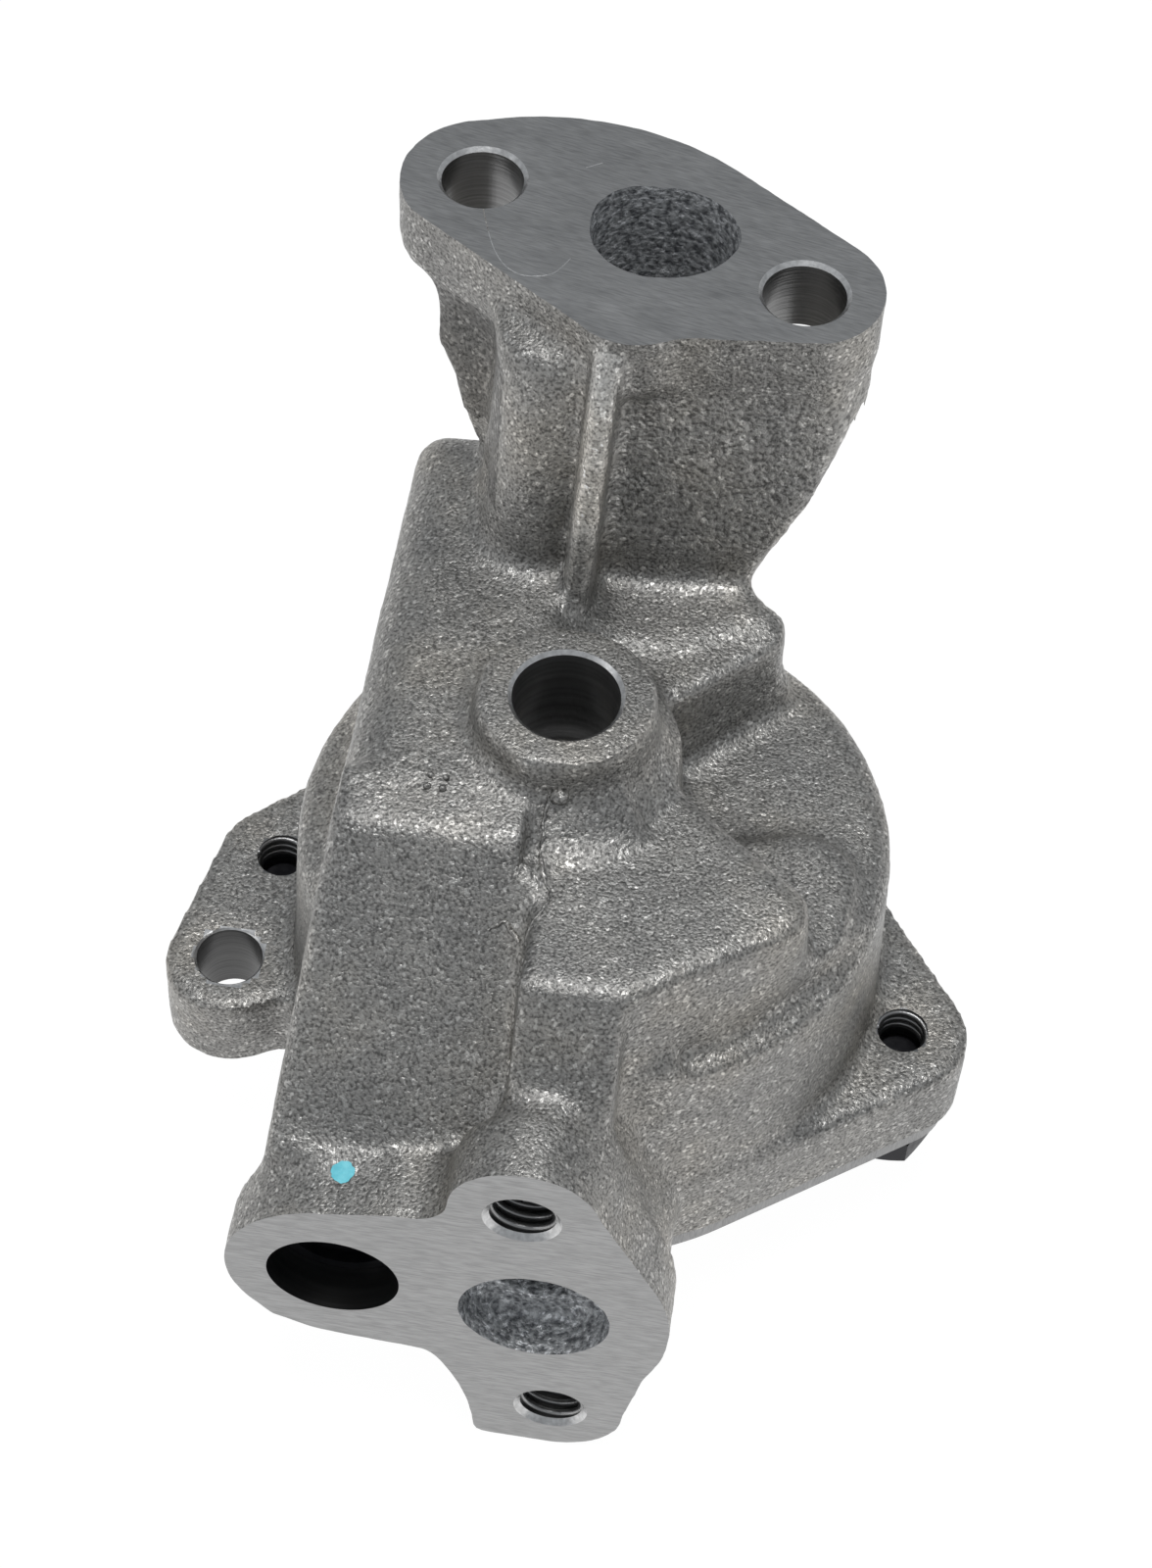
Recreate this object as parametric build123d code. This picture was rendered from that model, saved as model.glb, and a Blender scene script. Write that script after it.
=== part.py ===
from build123d import *
import os
from math import cos, hypot, pi, radians, sin

# Engine oil pump with a gerotor, its cast housing, a pickup face and a mounting flange.
# All sizes are millimetres. The origin is the middle of the hub face on the drive axis,
# +Z runs up the drive axis, -Y points to the pickup face and +X to the pump's right side.

# Running clearances
run_gap = 0.05
rotor_gap = 0.08
end_gap = 0.05
mesh_gap = 0.25

# Drive and rotors
drive_bore_r = 6.35
shaft_r = 6.0
hub_r = 10.6
hub_chamfer = 0.5
drive_recess = 17.0
hex_flats = 8.0
hex_depth = 11.0
inner_lobes = 4
outer_rotor_r = 28.5
outer_rotor_wall = 3.2
ecc_share = 0.1755
ecc_turn = -7.77
lobe_share = 0.553
rotor_height = 30.4
pin_r = 2.0
pin_inset = 0.9

# Rotor housing and cover joint
joint_z = -59.5
flange_height = 11.5
wall_thickness = 8.4
roof_thickness = 6.0
disc_edge_r = 3.0
disc_draft = 2.5
cover_thickness = 5.0
cover_inset = 1.2
cover_edge = 0.5

# Cover bolts, 1/4 inch, at right, rear, left and front of the joint
bolt_circle_r = 41.3
front_bolt_r = 37.0
ear_r = 8.3
bolt_angles = {"right": -9.5, "rear": 94.5, "left": 170.5, "front": -101.5}
bolt_r = 3.12
bolt_length = 12.7
thread_r = 3.175
bolt_flats = 11.1
bolt_head = 4.2
washer_thickness = 1.6
washer_r = 6.1
washer_slot = 1.0

# Ear with a plain hole at the left, for a brace
brace_x = -39.8
brace_y = -10.2
brace_hole_r = 4.15
brace_ear_r = 8.1

# Mounting flange
mount_z = 30.0
mount_plate = 6.5
mount_hole_r = 4.9
mount_hole_span = 41.5
mount_mid_x = 1.32
mount_mid_y = 45.58
mount_turn = -17.66
mount_end_r = 9.9
mount_boss_depth = 10.0
mount_chamfer = 0.4
mount_edge_r = 2.4
bolt_pocket_r = 8.0
bolt_pocket_front = 7.2
rib_width = 3.4

# Delivery port in the mounting flange
delivery_x = 4.1
delivery_y = 46.4
delivery_r = 9.0
delivery_tunnel_r = 5.8
tunnel_z = -19.0

# Body block
body_top_z = -5.0
body_left_x = -30.6
body_back_y = 52.0
body_right_x = 8.0
body_corner_r = 9.0
body_draft = 6.5
body_edge_r = 7.0
slope_top_y = -16.5
slope_top_z = -9.5
slope_fold = 6.0
slope_foot_y = -44.0
slope_foot_z = -33.5
shoulder_z = -10.0
shoulder_flank_x = -1.6
shoulder_flank = 11.0
shoulder_corner_r = 3.2
brow_y = -33.5
boss_top_z = -9.5
boss_edge_r = 1.6

# Pickup face
pickup_y = -52.4
collar_depth = 8.0
inlet_x = 5.35
inlet_z = -51.9
inlet_r = 9.1
inlet_core_r = 6.8
pickup_thread_r = 3.4
pickup_thread_depth = 11.0
pickup_upper = (3.44, -29.65)
pickup_lower = (8.0, -74.8)
countersink_r = 4.5

# Relief valve
relief_x = -18.73
relief_z = -49.0
relief_r = 7.94
relief_seat_y = -29.0
relief_bore_end = -27.6
piston_length = 10.0
piston_wall = 1.7
piston_crown = 2.0
piston_travel = 4.5
stop_gap = 0.3
retainer_thickness = 1.6
retainer_skirt = 3.0
retainer_hole_r = 2.5
spring_wire_r = 0.6
spring_turns = 4
relief_feed_r = 3.4
relief_window_r = 2.2

# Sizes that follow from those above
rotor_room = outer_rotor_r - outer_rotor_wall
ecc = ecc_share * rotor_room
ecc_x = ecc * cos(radians(ecc_turn))
ecc_y = ecc * sin(radians(ecc_turn))
lobe_r = lobe_share * rotor_room
lobe_reach = rotor_room - 2 * ecc - mesh_gap
lobe_circle_r = lobe_reach + lobe_r
chamber_r = outer_rotor_r + rotor_gap
disc_r = chamber_r + wall_thickness
chamber_top = joint_z + rotor_height + 2 * end_gap
disc_top = chamber_top + roof_thickness
flange_top = joint_z + flange_height
bearing_r = shaft_r + run_gap
rotor_base = joint_z + end_gap
cover_base = joint_z - cover_thickness
washer_base = cover_base - washer_thickness
outer_lobes = inner_lobes + 1


def at(x, y, z=0.0):
    """Place on the bolt plane or any level plane."""
    return Pos(x, y, z)


def bolt_place(name):
    """Centre of one cover bolt in plan."""
    reach = front_bolt_r if name == "front" else bolt_circle_r
    angle = radians(bolt_angles[name])
    return ecc_x + reach * cos(angle), ecc_y + reach * sin(angle)


def hull_of(circles):
    """Face that wraps tightly round a list of circles given as x, y, radius."""
    edges = ShapeList()
    for x, y, r in circles:
        edges += (at(x, y) * Circle(r)).edges()
    return make_hull(edges)


def level_prism(face, low, high, taper=0):
    """Prism that stands on a level plane, narrowing upwards by the taper angle."""
    return extrude(Pos(0, 0, low) * face, amount=high - low, taper=taper)


def facing(y):
    """Plane parallel to the pickup face: its x is +X, its y is +Z, and it looks to -Y."""
    return Plane(origin=(0, y, 0), x_dir=(1, 0, 0), z_dir=(0, -1, 0))


def bolt_line_plane():
    """Upright plane through both mounting holes, looking to the pickup side."""
    turn = radians(mount_turn)
    return Plane(origin=(mount_mid_x, mount_mid_y, 0), x_dir=(cos(turn), sin(turn), 0),
                 z_dir=(sin(turn), -cos(turn), 0))


def on_bolt_line(along, across):
    """Plan place given along the line of the mounting holes and square to it, from mid span."""
    turn = radians(mount_turn)
    return (mount_mid_x + along * cos(turn) - across * sin(turn),
            mount_mid_y + along * sin(turn) + across * cos(turn))


def mount_hole_places():
    """Both mounting holes in plan, left one first."""
    return [on_bolt_line(side * mount_hole_span / 2, 0) for side in (-1, 1)]


def cored(points, radius):
    """Round cored passage along straight runs, with a ball at each corner."""
    body = None
    for start, end in zip(points, points[1:]):
        run = Vector(*end) - Vector(*start)
        tube = Plane(origin=start, z_dir=run) * Cylinder(
            radius, run.length, align=(Align.CENTER, Align.CENTER, Align.MIN))
        body = tube if body is None else body + tube
    for corner in points[1:-1]:
        body = body + Pos(*corner) * Sphere(radius)
    return body


# Rotor housing

def rotor_case():
    """Round case over the rotors with a drafted wall and a rounded top edge."""
    rim = disc_r
    with BuildPart() as case:
        with BuildSketch(Plane.XZ) as half:
            with BuildLine():
                Polyline((0, joint_z), (rim, joint_z), (rim, flange_top),
                         (rim - (disc_top - flange_top) * sin(radians(disc_draft)), disc_top),
                         (0, disc_top), close=True)
            make_face()
            top_corner = half.vertices().sort_by(Axis.Y)[-2:].sort_by(Axis.X)[-1]
            fillet(top_corner, disc_edge_r)
        revolve(axis=Axis.Z)
    return Pos(ecc_x, ecc_y) * case.part


def joint_outline(inset=0.0):
    """Outline shared by the joint flange and the cover, drawn in by the inset."""
    ears = [(*bolt_place(name), ear_r - inset) for name in bolt_angles]
    return hull_of([(ecc_x, ecc_y, disc_r + 0.6 - inset)] + ears)


def joint_flange():
    """Joint flange with bolt ears and the brace ear."""
    left = bolt_place("left")
    brace = hull_of([(brace_x, brace_y, brace_ear_r), (*left, ear_r), (ecc_x - disc_r * 0.7, ecc_y, 8)])
    plate = level_prism(joint_outline(), joint_z, flange_top)
    return plate + level_prism(brace, joint_z, flange_top)


# Pickup end

def pickup_outline():
    """Machined pickup face: relief lobe at the left, boss above, inlet lobe and tail below."""
    upper_x, upper_z = pickup_upper
    lower_x, lower_z = pickup_lower
    relief_foot = (relief_x + 1.0, relief_z - 13.9)
    relief_head = (relief_x - 0.3, relief_z + 14.6)
    boss_left = (upper_x - 8.7, upper_z + 0.2)
    boss_right = (upper_x + 8.6, upper_z + 3.0)
    boss_corner = (upper_x - 14.0, upper_z - 3.0)
    inlet_head = (inlet_x + 14.7, inlet_z + 8.3)
    inlet_foot = (inlet_x + 13.7, inlet_z - 11.5)
    tail_right = (lower_x + 8.9, lower_z + 0.2)
    tail_foot = (lower_x, lower_z - 9.0)
    tail_left = (lower_x - 9.5, lower_z - 8.8)
    waist = (inlet_x - 12.5, inlet_z - 12.0)
    with BuildSketch(facing(pickup_y)) as face:
        with BuildLine():
            ThreePointArc(relief_foot, (relief_x - 13.0, relief_z + 0.4), relief_head)
            Line(relief_head, boss_corner)
            ThreePointArc(boss_corner, (upper_x - 10.3, upper_z - 2.2), boss_left)
            ThreePointArc(boss_left, (upper_x - 0.3, upper_z + 9.8), boss_right)
            Line(boss_right, inlet_head)
            ThreePointArc(inlet_head, (inlet_x + 16.2, inlet_z - 0.6), inlet_foot)
            Line(inlet_foot, tail_right)
            ThreePointArc(tail_right, (lower_x + 6.3, lower_z - 6.4), tail_foot)
            Line(tail_foot, tail_left)
            ThreePointArc(tail_left, (lower_x - 10.9, lower_z + 1.2), waist)
            Line(waist, relief_foot)
        make_face()
    return face.sketch


def pickup_collar():
    """Collar behind the pickup face."""
    return extrude(pickup_outline(), amount=-collar_depth)


def pickup_snout():
    """Rounded throat behind the collar, round the inlet passage and the upper boss."""
    low_ring = (inlet_x - 0.3, inlet_z, inlet_r + 6.2)
    boss_ring = hull_of([(pickup_upper[0] + 0.6, pickup_upper[1], 9.3), low_ring])
    ring = hull_of([(inlet_x + 2.6, pickup_upper[1] - 5.0, 6.5), low_ring])
    start = facing(pickup_y + collar_depth / 2)
    throat = extrude(start * ring, amount=-26) + extrude(start * boss_ring, amount=-7)
    above_joint = Box(4 * disc_r, 4 * disc_r, 2 * disc_r, align=(Align.CENTER, Align.CENTER, Align.MIN))
    return throat & Pos(0, 0, joint_z) * above_joint


# Body block

def above_slope(right_x):
    """Space over the sloping front of the block, as far right as the given x."""
    fold_y = slope_top_y + slope_fold
    with BuildSketch(Plane.YZ) as above:
        with BuildLine():
            Polyline((slope_foot_y, slope_foot_z), (slope_top_y, slope_top_z), (fold_y, body_top_z),
                     (fold_y, mount_z), (pickup_y - 20, mount_z), (pickup_y - 20, slope_foot_z), close=True)
        make_face()
    return Pos(right_x, 0, 0) * extrude(above.sketch, amount=2 * body_left_x)


def left_block():
    """Long block over the delivery gallery, with the sloping front and rounded top edges."""
    with BuildSketch() as plan:
        with BuildLine():
            Polyline((body_left_x, pickup_y + 4), (body_right_x, pickup_y + 4),
                     (body_right_x, body_back_y), (body_left_x, body_back_y), close=True)
        make_face()
        fillet(plan.vertices().group_by(Axis.Y)[-1], body_corner_r)
    block = level_prism(plan.sketch, joint_z, body_top_z, taper=body_draft) - above_slope(body_right_x)
    top_edges = block.edges().filter_by(lambda e: e.center().Z > body_top_z - 0.1
                                        and e.center().X < body_right_x - body_draft
                                        and e.center().Y > slope_top_y + slope_fold + 1)
    return fillet(top_edges, body_edge_r)


def shoulder():
    """Flat-topped shoulder at the right front, over the inlet port, with a sloping left flank."""
    left = shoulder_flank_x - 9
    flank_size = 4 * disc_r
    with BuildSketch() as plan:
        with BuildLine():
            Polyline((left, brow_y - 3), (13.5, brow_y - 1.1), (32.2, -21.8), (32.2, -15.6),
                     (14.5, -1.6), (shoulder_flank_x - 2, 9), (left, 9), close=True)
        make_face()
        fillet(plan.vertices().filter_by(lambda v: v.X > 20), shoulder_corner_r)
    block = level_prism(plan.sketch, disc_top - 4, shoulder_z, taper=5)
    with BuildSketch(Plane.YZ) as brow:
        with BuildLine():
            Polyline((-24, shoulder_z), (brow_y, shoulder_z), (brow_y - 8, -21), (brow_y - 8, -44),
                     (-24, -44), close=True)
        make_face()
        fillet(brow.vertices().sort_by(Axis.Y)[2:3], 3)
    block = block + Pos(left, 0, 0) * extrude(brow.sketch, amount=12 - left)
    lean = radians(shoulder_flank)
    flank = Plane(origin=(shoulder_flank_x, 0, shoulder_z), x_dir=(0, 1, 0), z_dir=(-cos(lean), 0, sin(lean)))
    return block - extrude(flank * Rectangle(flank_size, flank_size), amount=40)


def shoulder_pad():
    """Low crescent pad on the case beside the shoulder."""
    crescent = hull_of([(29.8, -5.6, 6.3), (29.0, -12.4, 6.8), (20, -10, 8)])
    return level_prism(crescent, disc_top - 1, disc_top + 2.0)


def back_boss():
    """Boss at the right rear, under the neck."""
    with BuildSketch() as plan:
        with BuildLine():
            Polyline((-4, 14), (11.5, 15.2), (17.5, 18.6), (24.0, 21.4), (24.4, 25.0), (18.5, 32.6),
                     (-4, 40), close=True)
        make_face()
        fillet(plan.vertices().sort_by(Axis.X)[-3:], 2.5)
    step = level_prism(hull_of([(6, 12, 5.5), (19.5, 20.5, 6.5), (2, 24, 6)]), disc_top - 3, disc_top + 3.5)
    boss = level_prism(plan.sketch, disc_top - 6, boss_top_z, taper=5)
    rim = boss.edges().group_by(Axis.Z)[-1].filter_by(lambda e: e.center().X > 3)
    return fillet(rim, boss_edge_r) + step


# Neck and mounting flange

def mount_outline():
    """Mounting flange seen from above: round ends, a point at the pickup side and a full back."""
    half = mount_hole_span / 2
    end = mount_end_r
    left_front = on_bolt_line(-half - 0.49 * end, -0.9 * end)
    left_back = on_bolt_line(-half - 0.41 * end, 0.93 * end)
    back = on_bolt_line(6.4, 1.5 * end)
    right_back = on_bolt_line(half + 0.15 * end, end)
    right_front = on_bolt_line(half + 0.61 * end, -0.62 * end)
    point_right = on_bolt_line(10.6, -13.6)
    point_left = on_bolt_line(-0.3, -16.6)
    with BuildSketch() as face:
        with BuildLine():
            ThreePointArc(left_front, on_bolt_line(-half - 0.97 * end, -0.17 * end), left_back)
            ThreePointArc(left_back, on_bolt_line(-7.1, 1.66 * end), back)
            Line(back, right_back)
            ThreePointArc(right_back, on_bolt_line(half + 0.9 * end, 0.25 * end), right_front)
            Line(right_front, point_right)
            ThreePointArc(point_right, on_bolt_line(3.8, -17.6), point_left)
            Line(point_left, left_front)
        make_face()
    return face.sketch


def neck_side():
    """Side view of the neck on the bolt line: two gussets that run in to a narrow foot."""
    half = mount_hole_span / 2
    left = -half - 1.6
    right = half + mount_end_r + 0.4
    with BuildSketch(bolt_line_plane()) as side:
        with BuildLine():
            Polyline((left, mount_z), (right, mount_z), (right - 1.6, 15.0), (half + 5.8, 3.0),
                     (16.6, -22), (12.0, flange_top), (-12.5, flange_top), (-12.5, -12),
                     (-15.0, -4.6), (left, 10.4), close=True)
        make_face()
    return side.sketch


def neck():
    """Neck under the flange: what lies both in its plan outline and in its side view."""
    half = mount_hole_span / 2
    corners = [(6.4, -14.7), (half + 7.3, -5.3), (half + 8.6, 1.6), (half + 1.7, 9.2), (4.6, 14.1),
               (-11.4, 11.5), (-half - 2.0, 7.9), (-half - 2.5, -8.6), (-12.5, -8.8), (-10.5, -15.6),
               (-5.4, -18.6), (1.1, -17.6)]
    with BuildSketch() as plan:
        with BuildLine():
            Polyline(*[on_bolt_line(*corner) for corner in corners], close=True)
        make_face()
    top_z = mount_z - mount_plate + 1
    solid = extrude(Pos(0, 0, top_z) * plan.sketch, amount=top_z - flange_top, dir=(0, 0, -1), taper=-4.5)
    back_y = mount_mid_y + half - 4
    with BuildSketch(Plane.YZ) as behind:
        with BuildLine():
            Polyline((back_y + 13, mount_z), (back_y, mount_z), (back_y, -8), (mount_mid_y, flange_top),
                     (back_y + 13, flange_top), close=True)
        make_face()
    solid = solid & extrude(neck_side(), amount=60, both=True)
    return solid - extrude(behind.sketch, amount=60, both=True)


def neck_cove():
    """Hollow-sided flare from the column and the left gusset out to the edge of the flange."""
    half = mount_hole_span / 2
    levels = [(mount_z - mount_boss_depth + 1, [(-half - 2.5, -9.4), (-11.0, -12.4), (-1.0, -15.6)]),
              (mount_z - 16.0, [(-half - 1.5, -8.8), (-11.5, -10.2), (-3.5, -15.8)]),
              (mount_z - 26.0, [(-half + 1.0, -8.6), (-12.0, -9.0), (-5.5, -16.0)])]
    sections = []
    for level, front in levels:
        points = [on_bolt_line(*place) for place in front + [(4, -12), (4, 4), (-half, 4)]]
        sections.append(Pos(0, 0, level) * make_face(Polyline(*points, close=True)))
    return loft(sections)


def neck_rib():
    """Rib up the front of the neck, from the hub to the point of the flange."""
    with BuildSketch(Plane.YZ) as side:
        with BuildLine():
            Polyline((8, -14), (18.8, -7), (19.2, 4), (20.8, 12.5), (23.0, 22.0),
                     (26.5, mount_z - 2), (34, mount_z - 2), (34, -14), close=True)
        make_face()
    half = rib_width / 2
    rib = extrude(side.sketch, amount=half, both=True)
    front = rib.edges().filter_by(lambda e: e.center().Z > -7 and abs(abs(e.center().X) - half) < 0.01
                                  and e.center().Y < 24.8)
    return fillet(front, 0.7 * half)


def neck_column():
    """Round column at the left front of the neck, flaring into the flange."""
    rings = [(-7.2, 28.2, -14, 8.6), (-6.7, 30.6, 4, 7.1), (-6.6, 32.4, 16, 6.7),
             (-7.2, 36.6, mount_z - mount_plate + 1, 7.6)]
    return loft([(Pos(x, y, z) * Circle(r)).face() for x, y, z, r in rings])


def mount_flange():
    """Flange with a rounded lower edge."""
    plate = level_prism(mount_outline(), mount_z - mount_boss_depth, mount_z)
    return fillet(plate.edges().group_by(Axis.Z)[0], mount_edge_r)


def bolt_pockets():
    """Room below the flange for each bolt head, open to the back."""
    cutters = []
    for side, low in ((-1, body_top_z), (1, joint_z - 1)):
        along = side * mount_hole_span / 2
        inner = on_bolt_line(along, bolt_pocket_r - bolt_pocket_front)
        outer = on_bolt_line(along, 40)
        slot = hull_of([(*inner, bolt_pocket_r), (*outer, bolt_pocket_r)])
        cutters.append(level_prism(slot, low, mount_z - mount_boss_depth))
    return cutters


def hub():
    """Hub round the drive bore, with a flared foot."""
    with BuildSketch(Plane.XZ) as half:
        with BuildLine():
            Line((0, 0), (hub_r, 0))
            Line((hub_r, 0), (hub_r + 0.4, -4))
            ThreePointArc((hub_r + 0.4, -4), (hub_r + 1.2, -7.0), (hub_r + 3.4, -9))
            Line((hub_r + 3.4, -9), (hub_r + 4.4, disc_top - 1))
            Line((hub_r + 4.4, disc_top - 1), (0, disc_top - 1))
            Line((0, disc_top - 1), (0, 0))
        make_face()
    return revolve(half.sketch, axis=Axis.Z)


# Openings and passages in the housing

def port_pocket(from_angle, to_angle):
    """Kidney port in the roof of the rotor chamber, as a ring sector."""
    inner = lobe_reach - ecc - 0.5
    outer = lobe_reach + ecc + 2.0
    mid = (inner + outer) / 2
    half = (outer - inner) / 2
    arc = CenterArc((ecc_x / 2, ecc_y / 2), mid, from_angle, to_angle - from_angle)
    slot = SlotArc(arc, 2 * half * 0.8)
    return level_prism(slot, chamber_top - 1, chamber_top + roof_thickness * 0.9)


def delivery_outline():
    """Rough cast delivery port in the mounting flange."""
    shares = [(-1, -0.04), (-0.74, 0.67), (-0.17, 0.83), (0.61, 0.66), (0.99, 0.02), (0.68, -0.57),
              (0.04, -0.84), (-0.72, -0.64)]
    rim = [(delivery_x + delivery_r * u, delivery_y + delivery_r * v) for u, v in shares]
    rim.append(rim[0])
    with BuildSketch() as face:
        with BuildLine():
            for start in range(0, 8, 2):
                ThreePointArc(rim[start], rim[start + 1], rim[start + 2])
        make_face()
    return face.sketch


def delivery_passage():
    """From the outlet port at the rear of the rotors, back and up to the mounting flange."""
    narrow_z = mount_z - 2 * mount_boss_depth
    narrow = at(delivery_x, delivery_y - 1) * Circle(0.82 * delivery_r)
    shaft = level_prism(delivery_outline(), narrow_z, mount_z + 1) + level_prism(narrow, tunnel_z, narrow_z)
    tunnel = cored([(6, 17, tunnel_z - 1.5), (5, 30, tunnel_z - 0.5),
                    (delivery_x, delivery_y - 2, tunnel_z + 0.5)], delivery_tunnel_r)
    return shaft + tunnel + Pos(delivery_x, delivery_y - 1, tunnel_z) * Sphere(0.8 * delivery_r)


def inlet_passage():
    """From the pickup face up to the inlet port at the front of the rotors."""
    mouth = extrude(facing(pickup_y - 1) * Pos(inlet_x, inlet_z) * Circle(inlet_r), amount=1.5 - collar_depth)
    elbow = (inlet_x - 0.2, pickup_y + collar_depth - 0.6, inlet_z + inlet_r - inlet_core_r)
    ramp = cored([(elbow[0], pickup_y + 2, elbow[2]), elbow, (6.0, -35.5, -36.5), (8.0, -20.0, -22.8)],
                 inlet_core_r)
    return mouth + ramp


def relief_feed():
    """Gallery along the left block from the delivery passage to the head of the relief valve."""
    return cored([(2.0, 33.0, tunnel_z), (-16.5, 24.0, tunnel_z + 0.5), (-18.5, -13.5, tunnel_z - 0.5),
                  (relief_x - 2.5, relief_seat_y + 2.4, -31.5),
                  (relief_x - 1.3, relief_seat_y + 0.1, relief_z + 8.0)], relief_feed_r)


def relief_bore():
    """Reamed bore from the pickup face, the small head room past it and the spill window."""
    bore = extrude(facing(pickup_y - 1) * Pos(relief_x, relief_z) * Circle(relief_r),
                   amount=-(1 + relief_seat_y - pickup_y))
    head = extrude(facing(relief_seat_y) * Pos(relief_x, relief_z) * Circle(relief_r - 1.3),
                   amount=-(relief_bore_end - relief_seat_y))
    spill_y = relief_seat_y - 4.2
    window = cored([(relief_x + 4, spill_y, relief_z + 3.4), (inlet_x, spill_y, -35.0)], relief_window_r)
    return bore + head + window


def pickup_holes():
    """Threaded holes in the pickup face, with countersunk mouths."""
    cutters = []
    for x, z in (pickup_upper, pickup_lower):
        place = facing(pickup_y) * Pos(x, z)
        cutters.append(extrude(place * Circle(pickup_thread_r), amount=-pickup_thread_depth))
        sink = countersink_r - pickup_thread_r
        cutters.append(place * Pos(0, 0, -sink / 2) * Cone(pickup_thread_r, countersink_r, sink))
    return cutters


def chamfered_hole(x, y, r, low, high, chamfer_size):
    """Upright hole with a chamfered upper mouth."""
    hole = level_prism(at(x, y) * Circle(r), low, high + 1)
    rim = at(x, y, high - chamfer_size / 2) * Cone(r, r + chamfer_size, chamfer_size)
    return [hole, rim]


def pump_housing():
    """The one-piece housing casting with its machined holes."""
    casting = rotor_case() - above_slope(shoulder_flank_x + 2) + joint_flange()
    for lump in (left_block(), shoulder(), shoulder_pad(), back_boss(), pickup_snout(), pickup_collar(),
                 hub(), neck(), neck_cove(), neck_column(), neck_rib(), mount_flange()):
        casting = casting + lump
    cuts = [at(ecc_x, ecc_y) * level_prism(Circle(chamber_r), joint_z - 1, chamber_top)]
    cuts += chamfered_hole(0, 0, drive_bore_r, -drive_recess, 0, hub_chamfer)
    cuts.append(level_prism(Circle(bearing_r), chamber_top - 1, 0))
    cuts += [port_pocket(20, 150), port_pocket(200, 330), delivery_passage(), inlet_passage()]
    cuts += [relief_feed(), relief_bore()] + pickup_holes()
    cuts += bolt_pockets()
    for place in mount_hole_places():
        cuts += chamfered_hole(*place, mount_hole_r, mount_z - mount_boss_depth - 1, mount_z, mount_chamfer)
    cuts += chamfered_hole(brace_x, brace_y, brace_hole_r, joint_z - 1, flange_top, mount_chamfer)
    for name in bolt_angles:
        x, y = bolt_place(name)
        depth = 10.0 if name in ("front", "rear") else flange_height
        cuts.append(level_prism(at(x, y) * Circle(thread_r), joint_z - 1, joint_z + depth))
    for cut in cuts:
        casting = casting - cut
    return casting


# Cover and its fasteners

def cover_plate():
    """Flat cover over the rotor chamber with four bolt holes."""
    plate = level_prism(joint_outline(cover_inset), cover_base, joint_z)
    rim = plate.faces().sort_by(Axis.Z)[0].edges()
    plate = chamfer(rim, cover_edge)
    for name in bolt_angles:
        x, y = bolt_place(name)
        plate = plate - level_prism(at(x, y) * Circle(thread_r + 0.2), cover_base - 1, joint_z + 1)
    return plate


def cover_bolt(name):
    """Hexagon-head bolt from below."""
    x, y = bolt_place(name)
    head_face = RegularPolygon(bolt_flats / 2, 6, major_radius=False)
    head = level_prism(at(x, y) * head_face, washer_base - bolt_head, washer_base)
    crown = at(x, y, washer_base - bolt_head / 2) * Cone(bolt_flats * 0.5, bolt_flats * 0.5 + bolt_head * 1.7,
                                                         bolt_head)
    shank = level_prism(at(x, y) * Circle(bolt_r), washer_base, washer_base + bolt_length)
    tip = shank.edges().sort_by(Axis.Z)[-1]
    return (head & crown) + chamfer(tip, 0.6)


def lock_washer(name):
    """Split spring washer, shown pressed flat."""
    x, y = bolt_place(name)
    ring = Circle(washer_r) - Circle(bolt_r + 0.2)
    slot = Rot(0, 0, 25) * Pos(washer_r / 2 + 1, 0) * Rectangle(washer_r, washer_slot)
    return level_prism(at(x, y) * (ring - slot), washer_base, cover_base)


# Rotors

def trochoid_point(angle, inset):
    """Point of the inner rotor: the lobe centre's path, drawn in by the lobe radius."""
    path_x = lobe_circle_r * cos(angle) + ecc * cos(outer_lobes * angle)
    path_y = lobe_circle_r * sin(angle) + ecc * sin(outer_lobes * angle)
    along_x = -lobe_circle_r * sin(angle) - outer_lobes * ecc * sin(outer_lobes * angle)
    along_y = lobe_circle_r * cos(angle) + outer_lobes * ecc * cos(outer_lobes * angle)
    size = hypot(along_x, along_y)
    return path_x - inset * along_y / size, path_y + inset * along_x / size


def inner_rotor_face():
    """Closed smooth outline of the inner rotor, through points that are evenly spaced along it."""
    steps = 720
    fine = [trochoid_point(2 * pi * k / steps, lobe_r + mesh_gap) for k in range(steps + 1)]
    reach = [0.0]
    for one, two in zip(fine, fine[1:]):
        reach.append(reach[-1] + hypot(two[0] - one[0], two[1] - one[1]))
    count = 20 * inner_lobes
    points = []
    for place, length in zip(fine, reach):
        if length >= len(points) * reach[-1] / count and len(points) < count:
            points.append(place)
    return make_face(Spline(*points, periodic=True))


def inner_rotor():
    """Inner rotor, turned so that a lobe points along the line of centres."""
    solid = level_prism(Rot(0, 0, ecc_turn) * inner_rotor_face(), rotor_base, rotor_base + rotor_height)
    solid = solid - level_prism(Circle(shaft_r + run_gap / 2), rotor_base - 1, rotor_base + rotor_height + 1)
    return solid - rotor_pin_shape(pin_r + run_gap / 2, 2 * lobe_circle_r)


def outer_rotor():
    """Outer rotor, with one more lobe than the inner one."""
    root_r = lobe_reach + 2 * ecc + mesh_gap
    with BuildSketch() as face:
        Circle(root_r)
        with PolarLocations(lobe_circle_r, outer_lobes):
            Circle(lobe_r, mode=Mode.SUBTRACT)
        fillet(face.vertices(), 1.5)
    pocket = Rot(0, 0, ecc_turn) * face.sketch
    ring = level_prism(Circle(outer_rotor_r) - pocket, rotor_base, rotor_base + rotor_height)
    return at(ecc_x, ecc_y) * ring


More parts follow.
